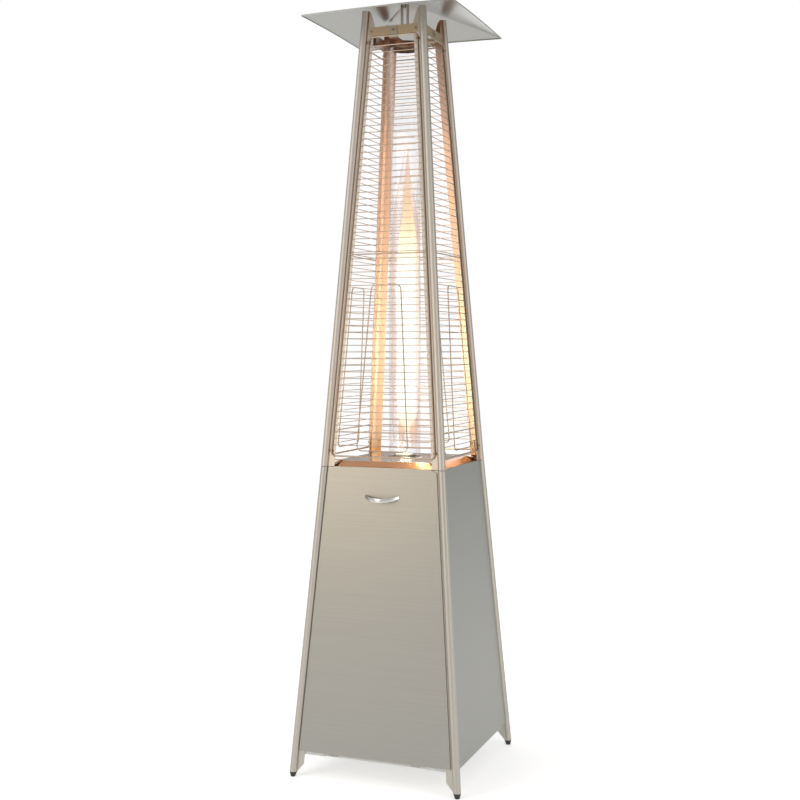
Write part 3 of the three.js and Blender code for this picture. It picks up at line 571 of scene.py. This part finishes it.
MATERIALS = {
    "stainless": brushed("stainless", (0.455, 0.435, 0.39), 0.44, (700.0, 700.0, 3.0), 0.04, 0.03),
    # Post steel: the second colour is a painted glow of the flame on inward faces, the third a burnt heat
    # tint at the top.
    "post_steel": smoked_and_flame_lit("post_steel", (0.50, 0.465, 0.415), (0.58, 0.46, 0.38), (0.30, 0.145, 0.08),
                         (0.46, 0.66)),
    "brushed_panel": brushed("brushed_panel", (0.325, 0.325, 0.305), 0.40),
    "reflector_sheet": brushed("reflector_sheet", (0.35, 0.35, 0.33), 0.30, (500.0, 4.0, 4.0)),
    # Deck: the copper on its rim is a painted reflection of the flame, turning to the plate's own colour
    # on top.
    "mirror_deck": tinted("deck_painted_flame_reflection", (0.74, 0.40, 0.22), (0.68, 0.62, 0.60), 919.5, 921.0, 0.16),
    "zinc_steel": brushed("zinc_steel", (0.50, 0.50, 0.49), 0.42, (60.0, 60.0, 60.0), 0.10, 0.1),
    # Guard wires and loops: their warm brown base colour is a painted glow of the flame's light on them.
    "wire": brushed("wire", (0.38, 0.31, 0.25), 0.34, (60.0, 60.0, 60.0), 0.06, 0.0),
    "screw": brushed("screw", (0.44, 0.38, 0.30), 0.30, (90.0, 90.0, 90.0), 0.06, 0.0),
    "handle": brushed("handle", (0.60, 0.60, 0.58), 0.26, (300.0, 300.0, 300.0), 0.04, 0.02),
    "bracket": tinted("bracket_heat_tint", (0.60, 0.38, 0.20), (0.52, 0.38, 0.24), 918, 968),
    "band": tinted("band_heat_tint", (0.50, 0.375, 0.235), (0.52, 0.41, 0.28), 2150, 2190),
    "holder": tinted("holder_heat_tint", (0.16, 0.065, 0.04), (0.34, 0.22, 0.14), 2128, 2185),
    "clip": brushed("clip", (0.27, 0.19, 0.13), 0.40, (90.0, 90.0, 90.0), 0.15, 0.0),
    "brass": brushed("brass", (0.52, 0.38, 0.17), 0.32, (80.0, 80.0, 80.0), 0.08, 0.0),
    "ceramic": plastic("ceramic", (0.80, 0.77, 0.70), 0.3),
    "black_plastic": plastic("black_plastic", (0.014, 0.014, 0.012), 0.42),
    "glass": quartz("glass"),
}


# ---------------------------------------------------------------- mesh helpers

def plain_mesh(name, points, faces):
    """Object from points in millimetres."""
    mesh = bpy.data.meshes.new(name)
    mesh.from_pydata([tuple(c * MM for c in point) for point in points], [], faces)
    mesh.update()
    thing = bpy.data.objects.new(name, mesh)
    bpy.context.scene.collection.objects.link(thing)
    return thing


def piece(name, parts, material, body=BODY, angle=35.0):
    """One shown piece from (points, faces) parts, riding on a body."""
    points = []
    faces = []
    for part_points, part_faces in parts:
        start = len(points)
        points.extend(part_points)
        faces.extend([tuple(i + start for i in face) for face in part_faces])
    thing = plain_mesh(name, points, faces)
    thing.data.materials.append(MATERIALS[material])
    thing.data.shade_smooth()
    thing.data.set_sharp_from_angle(angle=math.radians(angle))
    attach(thing, body)
    return thing


def moved(part, matrix):
    """The same part moved and turned by a matrix."""
    points, faces = part
    return [tuple(matrix @ Vector(point)) for point in points], faces


def flipped(part):
    """The same part with its faces looking the other way."""
    points, faces = part
    return points, [tuple(reversed(face)) for face in faces]


def to_side(side, size=4):
    """Turn from the front to one of the four sides."""
    return Matrix.Rotation(side * math.pi / 2, size, "Z")


def quarter_turn(part, side):
    """A front part carried round to another side."""
    return moved(part, to_side(side))


def lerp(a, b, t):
    return a + (b - a) * t


def tube_half(z):
    """Distance of each corner tube's centre from the middle planes at a height."""
    if z <= SPLIT_Z:
        return lerp(FLOOR_HALF, SPLIT_HALF, z / SPLIT_Z)
    return lerp(SPLIT_HALF, TOP_HALF, (z - SPLIT_Z) / (TOP_Z - SPLIT_Z))


def leaning_face(half, z, other_half, other_z):
    """Matrix of a leaning front face: x across it, y up it, z out of it."""
    lean = math.atan2(half - other_half, other_z - z)
    across = Vector((1, 0, 0))
    up = Vector((0, math.sin(lean), math.cos(lean)))
    out = Vector((0, -math.cos(lean), math.sin(lean)))
    matrix = Matrix((across, up, out)).transposed().to_4x4()
    matrix.translation = (0, -half, z)
    return matrix


LOWER_FACE = leaning_face(FLOOR_HALF, 0, SPLIT_HALF, SPLIT_Z)
UPPER_FACE = leaning_face(SPLIT_HALF, SPLIT_Z, TOP_HALF, TOP_Z)
LOWER_COS = LOWER_FACE[2][1]
UPPER_COS = UPPER_FACE[2][1]


def lower_v(z):
    """Distance up a cabinet face to a height."""
    return z / LOWER_COS


def upper_v(z):
    """Distance up a face above the cabinet to a height."""
    return (z - SPLIT_Z) / UPPER_COS


def on_lower(u, z, w=0.0, side=0):
    """Matrix to a spot on a cabinet face, its z axis pointing out of the face."""
    return to_side(side) @ LOWER_FACE @ Matrix.Translation((u, lower_v(z), w))


def on_upper(u, z, w=0.0, side=0):
    """Matrix to a spot on a face above the cabinet, its z axis pointing out of the face."""
    return to_side(side) @ UPPER_FACE @ Matrix.Translation((u, upper_v(z), w))


def skin(rings, closed_ends=True, closed_loop=False):
    """Quads between rings of equal length, with flat ends or joined round."""
    count = len(rings[0])
    points = [point for ring_points in rings for point in ring_points]
    faces = []
    spans = len(rings) if closed_loop else len(rings) - 1
    for j in range(spans):
        a = j * count
        b = ((j + 1) % len(rings)) * count
        for i in range(count):
            k = (i + 1) % count
            faces.append((a + i, a + k, b + k, b + i))
    if closed_ends and not closed_loop:
        faces.append(tuple(reversed(range(count))))
        faces.append(tuple(range((len(rings) - 1) * count, len(rings) * count)))
    return points, faces


def on_circle(radius, angle):
    return radius * math.cos(angle), radius * math.sin(angle)


def ring(radius, z, count, centre=(0.0, 0.0)):
    """Level circle of points."""
    spots = (on_circle(radius, 2 * math.pi * i / count) for i in range(count))
    return [(centre[0] + x, centre[1] + y, z) for x, y in spots]


def turned(profile, count, loop=False):
    """Turned part from (radius, z) pairs going up, or a closed profile with loop."""
    return skin([ring(radius, z, count) for radius, z in profile], not loop, loop)


def block(x0, x1, y0, y1, z0, z1, chamfer):
    """Box with chamfered edges up its z direction."""
    c = chamfer
    outline = [(x0 + c, y0), (x1 - c, y0), (x1, y0 + c), (x1, y1 - c), (x1 - c, y1), (x0 + c, y1),
               (x0, y1 - c), (x0, y0 + c)]
    return skin([[(x, y, z) for x, y in outline] for z in (z0, z1)])


def rod(path, radius, closed, sides):
    """Round rod along a path in the plane of a face."""
    normal = Vector((0, 0, 1))
    path = [Vector(point) for point in path]
    rings = []
    for i, here in enumerate(path):
        first = i == 0 and not closed
        last = i == len(path) - 1 and not closed
        into = None if first else (here - path[i - 1]).normalized()
        out = None if last else (path[(i + 1) % len(path)] - here).normalized()
        into = into or out
        out = out or into
        along = (into + out).normalized()
        across = along.cross(normal) / max(MITRE_LIMIT, along.dot(into))
        rings.append([tuple(here + across * radius * math.cos(a) + normal * radius * math.sin(a))
                      for a in (2 * math.pi * k / sides for k in range(sides))])
    return flipped(skin(rings, not closed, closed))


def rounded(outline, radius, steps):
    """Closed outline with its corners as arcs."""
    result = []
    for i, corner in enumerate(outline):
        here = Vector(corner)
        before = (Vector(outline[i - 1]) - here).normalized()
        after = (Vector(outline[(i + 1) % len(outline)]) - here).normalized()
        half = before.angle(after) / 2
        start = here + before * radius / math.tan(half)
        end = here + after * radius / math.tan(half)
        centre = here + (before + after).normalized() * radius / math.sin(half)
        first = math.atan2(start.y - centre.y, start.x - centre.x)
        turn = math.atan2(end.y - centre.y, end.x - centre.x) - first
        turn = (turn + math.pi) % (2 * math.pi) - math.pi
        for step in range(steps + 1):
            x, y = on_circle(radius, first + turn * step / steps)
            result.append((centre.x + x, centre.y + y))
    return result


def screw(radius, height):
    """Domed screw head standing on z = 0, with a small hollow in the middle for the driver."""
    profile = [(radius, 0.0), (radius, SCREW_RIM * height)]
    for step in range(1, DOME_STEPS):
        angle = step * math.pi / 2 / DOME_STEPS
        rise = SCREW_RIM + (1 - SCREW_RIM) * math.sin(angle)
        profile.append((radius * math.cos(angle), height * rise))
    profile += [(radius * across, height * up) for across, up in SCREW_HOLLOW]
    return turned(profile, SCREW_SIDES)


def hexagon(radius, z0, z1):
    return skin([ring(radius, z, 6) for z in (z0, z1)])


# ---------------------------------------------------------------- legs, posts and feet

def corner_ring(z, reach):
    """Plan outline of the front right profile: rolled tube and two flanges."""
    centre = tube_half(z)
    inner = math.sqrt(TUBE_R ** 2 - FLANGE_T ** 2)
    edge = max(reach - EDGE_LENGTH, EDGE_MIN)
    outline = [on_circle(TUBE_R, math.pi + 1.5 * math.pi * i / TUBE_STEPS) for i in range(TUBE_STEPS + 1)]
    outline += [(0, edge), (-EDGE_ROUND, reach), (-FLANGE_T + EDGE_ROUND, reach), (-FLANGE_T, edge),
                (-FLANGE_T, inner)]
    start = math.atan2(inner, -FLANGE_T)
    end = math.atan2(FLANGE_T, -inner)
    outline += [on_circle(TUBE_R, lerp(start, end, i / INNER_STEPS)) for i in range(1, INNER_STEPS)]
    outline += [(-inner, FLANGE_T), (-edge, FLANGE_T), (-reach, FLANGE_T - EDGE_ROUND),
                (-reach, EDGE_ROUND), (-edge, 0)]
    return [(centre + x, -centre + y, z) for x, y in outline]


def make_corners():
    """Legs beside the cabinet and the posts above them."""
    leg = skin([corner_ring(LEG_BOTTOM, STUB_REACH), corner_ring(LEG_FLANGE_FROM, FLANGE_REACH),
                corner_ring(LEG_TOP, FLANGE_REACH)])
    post = skin([corner_ring(POST_BOTTOM, FLANGE_REACH), corner_ring(POST_FLANGE_TO, FLANGE_REACH),
                 corner_ring(POST_TAPER_TO, POST_TAPER_REACH), corner_ring(POST_CAP_FROM, STUB_REACH),
                 corner_ring(TOP_Z, STUB_REACH - EDGE_ROUND)])
    for side, corner in enumerate(CORNERS):
        profile = piece(f"leg_{corner}_profile", [quarter_turn(leg, side)], "stainless")
        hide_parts(f"leg_{corner}")
        profile = piece(f"post_{corner}_profile", [quarter_turn(post, side)], "post_steel")
        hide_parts(f"post_{corner}")


def make_feet():
    """Tapered plastic feet with a rounded sole and a rim under the leg."""
    rings = []
    for radius, z in FOOT_PROFILE:
        half = tube_half(z)
        rings.append(ring(radius, z, FOOT_SIDES, (half, -half)))
    foot = skin(rings)
    for side, corner in enumerate(CORNERS):
        turned_foot = [quarter_turn(foot, side)]
        pad = piece(f"foot_{corner}_pad", turned_foot, "black_plastic")
        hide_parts(f"foot_{corner}")


# ---------------------------------------------------------------- guards

def guard_half(z):
    """Half the guard's width at a height."""
    return tube_half(z) - GUARD_EDGE


def guard_frame_part():
    """Rod bent into a frame that narrows upwards."""
    low = guard_half(GUARD_BOTTOM)
    high = guard_half(GUARD_TOP)
    corners = [(-low, upper_v(GUARD_BOTTOM)), (low, upper_v(GUARD_BOTTOM)),
               (high, upper_v(GUARD_TOP)), (-high, upper_v(GUARD_TOP))]
    path = [(u, v, GUARD_W) for u, v in rounded(corners, GUARD_CORNER_R, CORNER_STEPS)]
    return rod(path, GUARD_ROD_R, True, FRAME_SIDES)


def straight_rod(z, radius, sides):
    """Rod across the guard at a height."""
    half = guard_half(z)
    v = upper_v(z)
    return rod([(-half, v, GUARD_W), (half, v, GUARD_W)], radius, False, sides)


def guard_wire_parts():
    """Three cross rods, and thin wires at even steps but for the lowest rod's own place."""
    rods = [straight_rod(z, CROSS_R, CROSS_SIDES) for z in CROSS_RODS]
    steps = [i for i in range(-WIRES_BELOW, WIRE_PITCHES) if i != 0]
    wires = [straight_rod(CROSS_RODS[0] + i * WIRE_PITCH, WIRE_R, WIRE_SIDES) for i in steps]
    return rods + wires


def clip_parts(z, hand):
    """Bent clip that holds the guard's rod to the flange, with its screw."""
    u = hand * guard_half(z)
    plate = moved(block(*CLIP_PLATE), on_upper(u + hand * CLIP_PLATE_SHIFT, z))
    ends = [[(x, y, w) for x, w in CLIP_SADDLE] for y in (CLIP_SADDLE_HALF, -CLIP_SADDLE_HALF)]
    saddle = moved(skin(ends), on_upper(u, z))
    head = moved(screw(*CLIP_SCREW), on_upper(u + hand * CLIP_SCREW_SHIFT, z, CLIP_SCREW_W))
    return [plate, saddle, head]


def loop_part():
    """Rounded loop in front of the guard, narrower at its top."""
    corners = [(-LOOP_LOW[0], upper_v(LOOP_LOW[1])), (LOOP_LOW[0], upper_v(LOOP_LOW[1])),
               (LOOP_HIGH[0], upper_v(LOOP_HIGH[1])), (-LOOP_HIGH[0], upper_v(LOOP_HIGH[1]))]
    path = [(u, v, LOOP_W) for u, v in rounded(corners, LOOP_CORNER_R, CORNER_STEPS)]
    return rod(path, LOOP_R, True, LOOP_SIDES)


def make_guards():
    """On each side a guard, its loop and its four clips."""
    loop = moved(loop_part(), UPPER_FACE)
    grid = [moved(part, UPPER_FACE) for part in [guard_frame_part(), *guard_wire_parts()]]
    clips = [part for z in CLIP_HEIGHTS for hand in (-1, 1) for part in clip_parts(z, hand)]
    for side, name in enumerate(SIDES):
        wires = piece(f"guard_{name}_wires", [quarter_turn(p, side) for p in grid], "wire")
        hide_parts(f"guard_{name}")
        front = piece(f"guard_loop_{name}_rod", [quarter_turn(loop, side)], "wire")
        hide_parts(f"guard_loop_{name}")
        piece(f"guard_clips_{name}", [quarter_turn(p, side) for p in clips], "clip")


# ---------------------------------------------------------------- reflector and hanger bolt

def reflector_ring(half, corner_z, bow):
    """Square outline whose sides rise by the bow towards their middles."""
    points = []
    for side in range(4):
        for i in range(REFLECTOR_STEPS):
            t = 2 * i / REFLECTOR_STEPS - 1
            rim = Vector((half * t, -half, corner_z + bow * (1 - t * t)))
            points.append(tuple(to_side(side, 3) @ rim))
    return points


def make_reflector():
    """Square cross-broken sheet with a hemmed edge, open at the middle for its bolt."""
    top = REFLECTOR_APEX_Z
    corner = REFLECTOR_CORNER_Z
    slope = [(REFLECTOR_HOLE, top, 0.0), (REFLECTOR_FLAT, top, 0.0)]
    for t in REFLECTOR_SHARES:
        half = lerp(REFLECTOR_FLAT, REFLECTOR_HALF - REFLECTOR_EDGE, t)
        slope.append((half, lerp(top, corner, t), REFLECTOR_BOW * t))
    hem = [(REFLECTOR_HALF - inset, corner - drop, REFLECTOR_BOW) for inset, drop in HEM_OUTLINE]
    under = [(half, z - SHEET, bow) for half, z, bow in reversed(slope)]
    sheet = flipped(skin([reflector_ring(*level) for level in slope + hem + under], False, True))
    thing = piece("reflector_sheet", [sheet], "reflector_sheet", angle=12.0)
    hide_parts("reflector")


def make_bolt():
    """Hanger bolt with its nut and a domed head."""
    low, high = (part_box("hanger_bolt")[i][2] / MM for i in (0, 1))
    parts = [turned([(BOLT_R, low), (BOLT_R, low + NUT_FROM)], BOLT_SIDES),
             hexagon(NUT_R, low + NUT_FROM, low + NUT_TO),
             turned([(BOLT_R, low + NUT_TO), (BOLT_R, high - BOLT_HEAD_FROM)], BOLT_SIDES),
             turned([(radius, high - drop) for radius, drop in BOLT_HEAD], BOLT_HEAD_SIDES)]
    thing = piece("hanger_bolt_and_nut", parts, "screw")
    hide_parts("hanger_bolt")


# ---------------------------------------------------------------- glass and deck trim

def make_glass():
    """Tube with softened ends."""
    inside = GLASS_R - GLASS_WALL
    profile = [(inside, GLASS_TOP - GLASS_EDGE), (inside, GLASS_BOTTOM + GLASS_EDGE),
               (inside + GLASS_EDGE, GLASS_BOTTOM), (GLASS_R - GLASS_EDGE, GLASS_BOTTOM),
               (GLASS_R, GLASS_BOTTOM + GLASS_EDGE), (GLASS_R, GLASS_TOP - GLASS_EDGE),
               (GLASS_R - GLASS_EDGE, GLASS_TOP), (inside + GLASS_EDGE, GLASS_TOP)]
    walls = turned(profile, GLASS_SIDES, True)
    tube = piece("glass_tube_clear", [walls], "glass", angle=50.0)
    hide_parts("glass_tube")


def make_deck_trim():
    """Raised collar of the deck round the glass, and the deck's screws."""
    profile = [(GLASS_R + past, DECK_Z + rise) for past, rise in COLLAR_PROFILE]
    piece("deck_collar", [turned(profile, COLLAR_SIDES, True)], "mirror_deck")
    heads = []
    for quarter in range(4):
        x, y = on_circle(DECK_SCREW_RING, math.pi / 4 + quarter * math.pi / 2)
        heads.append(moved(screw(*DECK_SCREW), Matrix.Translation((x, y, DECK_SCREW_Z))))
    piece("deck_screws", heads, "screw")


# ---------------------------------------------------------------- door handle

def squared(angle):
    """Cosine and sine pushed outward, for a section between round and square."""
    return [math.copysign(abs(share) ** HANDLE_SQUARENESS, share) for share in on_circle(1.0, angle)]


def handle_section(t):
    """Outline of the strap at t, which runs from -1 at one end to 1 at the other."""
    middle = Vector((HANDLE_HALF * t, 0, HANDLE_START + HANDLE_STAND * (1 - abs(t) ** HANDLE_POWER)))
    rise = -HANDLE_STAND * HANDLE_POWER * math.copysign(abs(t) ** (HANDLE_POWER - 1), t)
    out = Vector((-rise, 0, HANDLE_HALF)).normalized()
    tall = HANDLE_HEIGHT / 2 * lerp(1.0, HANDLE_END_SHARE, t * t)
    section = []
    for k in range(HANDLE_SIDES):
        along, across = squared(2 * math.pi * k / HANDLE_SIDES)
        point = middle + out * (HANDLE_T / 2 * across)
        up = tall * along - HANDLE_DROOP * (point.z - HANDLE_START)
        section.append((point.x, up, max(point.z, HANDLE_LIMIT)))
    return section


def make_handle():
    """Bow handle: an arched strap with soft edges that droops towards its middle."""
    sections = [handle_section(2 * i / HANDLE_STEPS - 1) for i in range(HANDLE_STEPS + 1)]
    bow = moved(skin(sections), on_lower(HANDLE_X, HANDLE_Z))
    thing = piece("door_handle_bow", [bow], "handle", body=DOOR, angle=40.0)
    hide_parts("door_handle")


# ---------------------------------------------------------------- fasteners

def make_band_trim(side, name):
    """Screws and tab of the collar band near the top of one side."""
    heads = [moved(screw(*BAND_SCREW), on_upper(u, BAND_Z, w, side)) for u, w in BAND_SCREW_SPOTS]
    piece(f"collar_screws_{name}", heads, "clip")
    tab = moved(block(*BAND_TAB), on_upper(0, BAND_Z, 0, side))
    piece(f"collar_tab_{name}", [tab], "screw")


def make_bracket_screws(side, name):
    """Screws of the corner brackets at the deck, their heads inside the flanges."""
    heads = []
    for hand in (-1, 1):
        for z in BRACKET_SCREW_HEIGHTS:
            u = hand * (tube_half(z) - BRACKET_SCREW_INSET)
            spot = on_upper(u, z, BRACKET_SCREW_W, side) @ Matrix.Rotation(math.pi, 4, "X")
            heads.append(moved(screw(*BRACKET_SCREW), spot))
    piece(f"bracket_screws_{name}", heads, "clip")


def make_panel_screws(side, name):
    """Four screws near the corners of a panel."""
    heads = []
    for z in PANEL_SCREW_HEIGHTS:
        for hand in (-1, 1):
            spot = on_lower(hand * (tube_half(z) - PANEL_SCREW_INSET), z, PANEL_FRONT, side)
            heads.append(moved(screw(*PANEL_SCREW), spot))
    piece(f"panel_screws_{name}", heads, "screw")


def make_screws():
    """Fasteners that show: collar bands, brackets, panels and the foot of each leg."""
    for side, name in enumerate(SIDES):
        make_band_trim(side, name)
        make_bracket_screws(side, name)
    for side, name in enumerate(SIDES[1:], 1):
        make_panel_screws(side, name)
    u = tube_half(RIVET_Z) + RIVET_SHIFT
    heads = [moved(screw(*RIVET), on_lower(u, RIVET_Z, RIVET_W, side)) for side in range(4)]
    piece("leg_rivets", heads, "screw")


# ---------------------------------------------------------------- CAD nodes that show as they are

def node_look(name, slot):
    """Finish of a node: its slot's own, or a heat tint of its own."""
    if name.startswith("bracket_"):
        return "bracket"
    if name == "tube_holder":
        return "holder"
    return "band" if slot == "tinted_steel" else slot


def paint_nodes():
    """Finishes for the CAD nodes that show as they are, with softened edges."""
    slots = {entry["node"]: entry["material_slot"] for entry in frame["record"]["subparts"]}
    for name, node in frame["nodes"].items():
        for entry in node.material_slots:
            entry.material = MATERIALS[node_look(name, slots[name])]
        if node.hide_render:
            continue
        bevel = node.modifiers.new("softened_edges", "BEVEL")
        bevel.width = SOFT_EDGE * MM
        bevel.segments = 2
        bevel.limit_method = "ANGLE"
        bevel.angle_limit = math.radians(SOFT_EDGE_ANGLE)


# ---------------------------------------------------------------- flame

def smooth(profile):
    """Denser (z, radius) pairs on a smooth curve through the given ones."""
    result = []
    last = len(profile) - 1
    for i in range(last):
        before, here, there, after = (profile[min(max(i + k, 0), last)] for k in (-1, 0, 1, 2))
        for step in range(SMOOTH_STEPS):
            t = step / SMOOTH_STEPS
            point = []
            for a, b, c, d in zip(before, here, there, after):
                point.append(0.5 * (2 * b + (c - a) * t + (2 * a - 5 * b + 4 * c - d) * t ** 2
                                    + (3 * b - a - 3 * c + d) * t ** 3))
            result.append((point[0], max(point[1], FLAME_THINNEST)))
    return result + [profile[-1]]


def flame_part(profile, x=FLAME_X, waver=0.0):
    """Turned flame body from (z, radius) pairs, swaying and rippling a little with height."""
    rings = []
    for z, radius in smooth(profile):
        sway = waver * math.sin(z * SWAY_RATE)
        ripple = 1.0 + RIPPLE_SHARE * waver * math.sin(z * RIPPLE_RATE)
        rings.append(ring(radius * ripple, z, FLAME_SIDES, (x + sway, 0.0)))
    return skin(rings)


def flame_light(name, z, power, color):
    """Small lamp in the middle of the flame."""
    data = bpy.data.lights.new(name, "POINT")
    data.energy = power
    data.color = color
    data.shadow_soft_size = LIGHT_RADIUS
    light = bpy.data.objects.new(name, data)
    light.location = (FLAME_X * MM, 0.0, z * MM)
    bpy.context.scene.collection.objects.link(light)


def add_flame_materials():
    """Bright core, thin shell round it, pointed tip and the two small flames it rises from."""
    solid = [(0.0, 1.0), (0.5, 1.0), (0.78, 0.45), (1.0, 0.0)]
    hollow = [(0.0, 0.10), (0.2, 0.25), (0.5, 0.9), (0.75, 0.8), (1.0, 0.0)]
    soft = [(0.0, 1.0), (0.3, 0.7), (0.7, 0.25), (1.0, 0.0)]
    MATERIALS["flame_core"] = fire(
        "flame_core", [(0.0, YELLOW), (0.12, WHITE), (0.60, WHITE), (0.82, YELLOW), (1.0, ORANGE)],
        low=1004, high=1720, strength=1.35,
        by_height=[(0.0, 0.35), (0.08, 1.0), (0.75, 1.0), (1.0, 0.30)], by_edge=solid)
    MATERIALS["flame_veil"] = fire(
        "flame_veil", [(0.0, PINK), (0.2, PEACH), (0.6, PEACH), (0.75, PINK), (1.0, PINK)],
        low=950, high=1850, strength=1.0,
        by_height=[(0.0, 0.15), (0.15, 0.35), (0.30, 0.5), (0.75, 0.42), (1.0, 0.15)], by_edge=hollow)
    MATERIALS["flame_tip"] = fire(
        "flame_tip", [(0.0, YELLOW), (0.55, AMBER), (0.8, ORANGE), (1.0, PINK)],
        low=1480, high=1845, strength=1.0,
        by_height=[(0.0, 0.0), (0.3, 0.45), (0.7, 0.5), (1.0, 0.3)], by_edge=soft)
    MATERIALS["flame_foot"] = fire(
        "flame_foot", [(0.0, PINK), (0.6, ORANGE), (1.0, WHITE)],
        low=945, high=1060, strength=1.1,
        by_height=[(0.0, 0.10), (0.4, 0.6), (1.0, 0.9)], by_edge=soft)


def make_flame():
    """The flame's bodies, which cast no shadow, and the lights inside them."""
    add_flame_materials()
    feet = [flame_part(FLAME_FOOT, FLAME_X + hand * FOOT_SPREAD) for hand in (-1, 1)]
    bodies = (("flame_core", [flame_part(FLAME_CORE, waver=1.5)], "flame_core"),
              ("flame_veil", [flame_part(FLAME_VEIL, VEIL_X, waver=1.0)], "flame_veil"),
              ("flame_tip", [flame_part(FLAME_TIP, waver=2.0)], "flame_tip"),
              ("flame_feet", feet, "flame_foot"))
    for name, parts, material in bodies:
        thing = piece(name, parts, material, angle=80.0)
        thing.visible_shadow = False
    for i, (z, power, colour) in enumerate(LIGHTS):
        flame_light(f"flame_light_{i}", z, power, colour)


make_camera()
make_studio()
make_corners()
make_feet()
make_guards()
make_reflector()
make_bolt()
make_glass()
make_handle()
make_screws()
make_deck_trim()
make_flame()
paint_nodes()
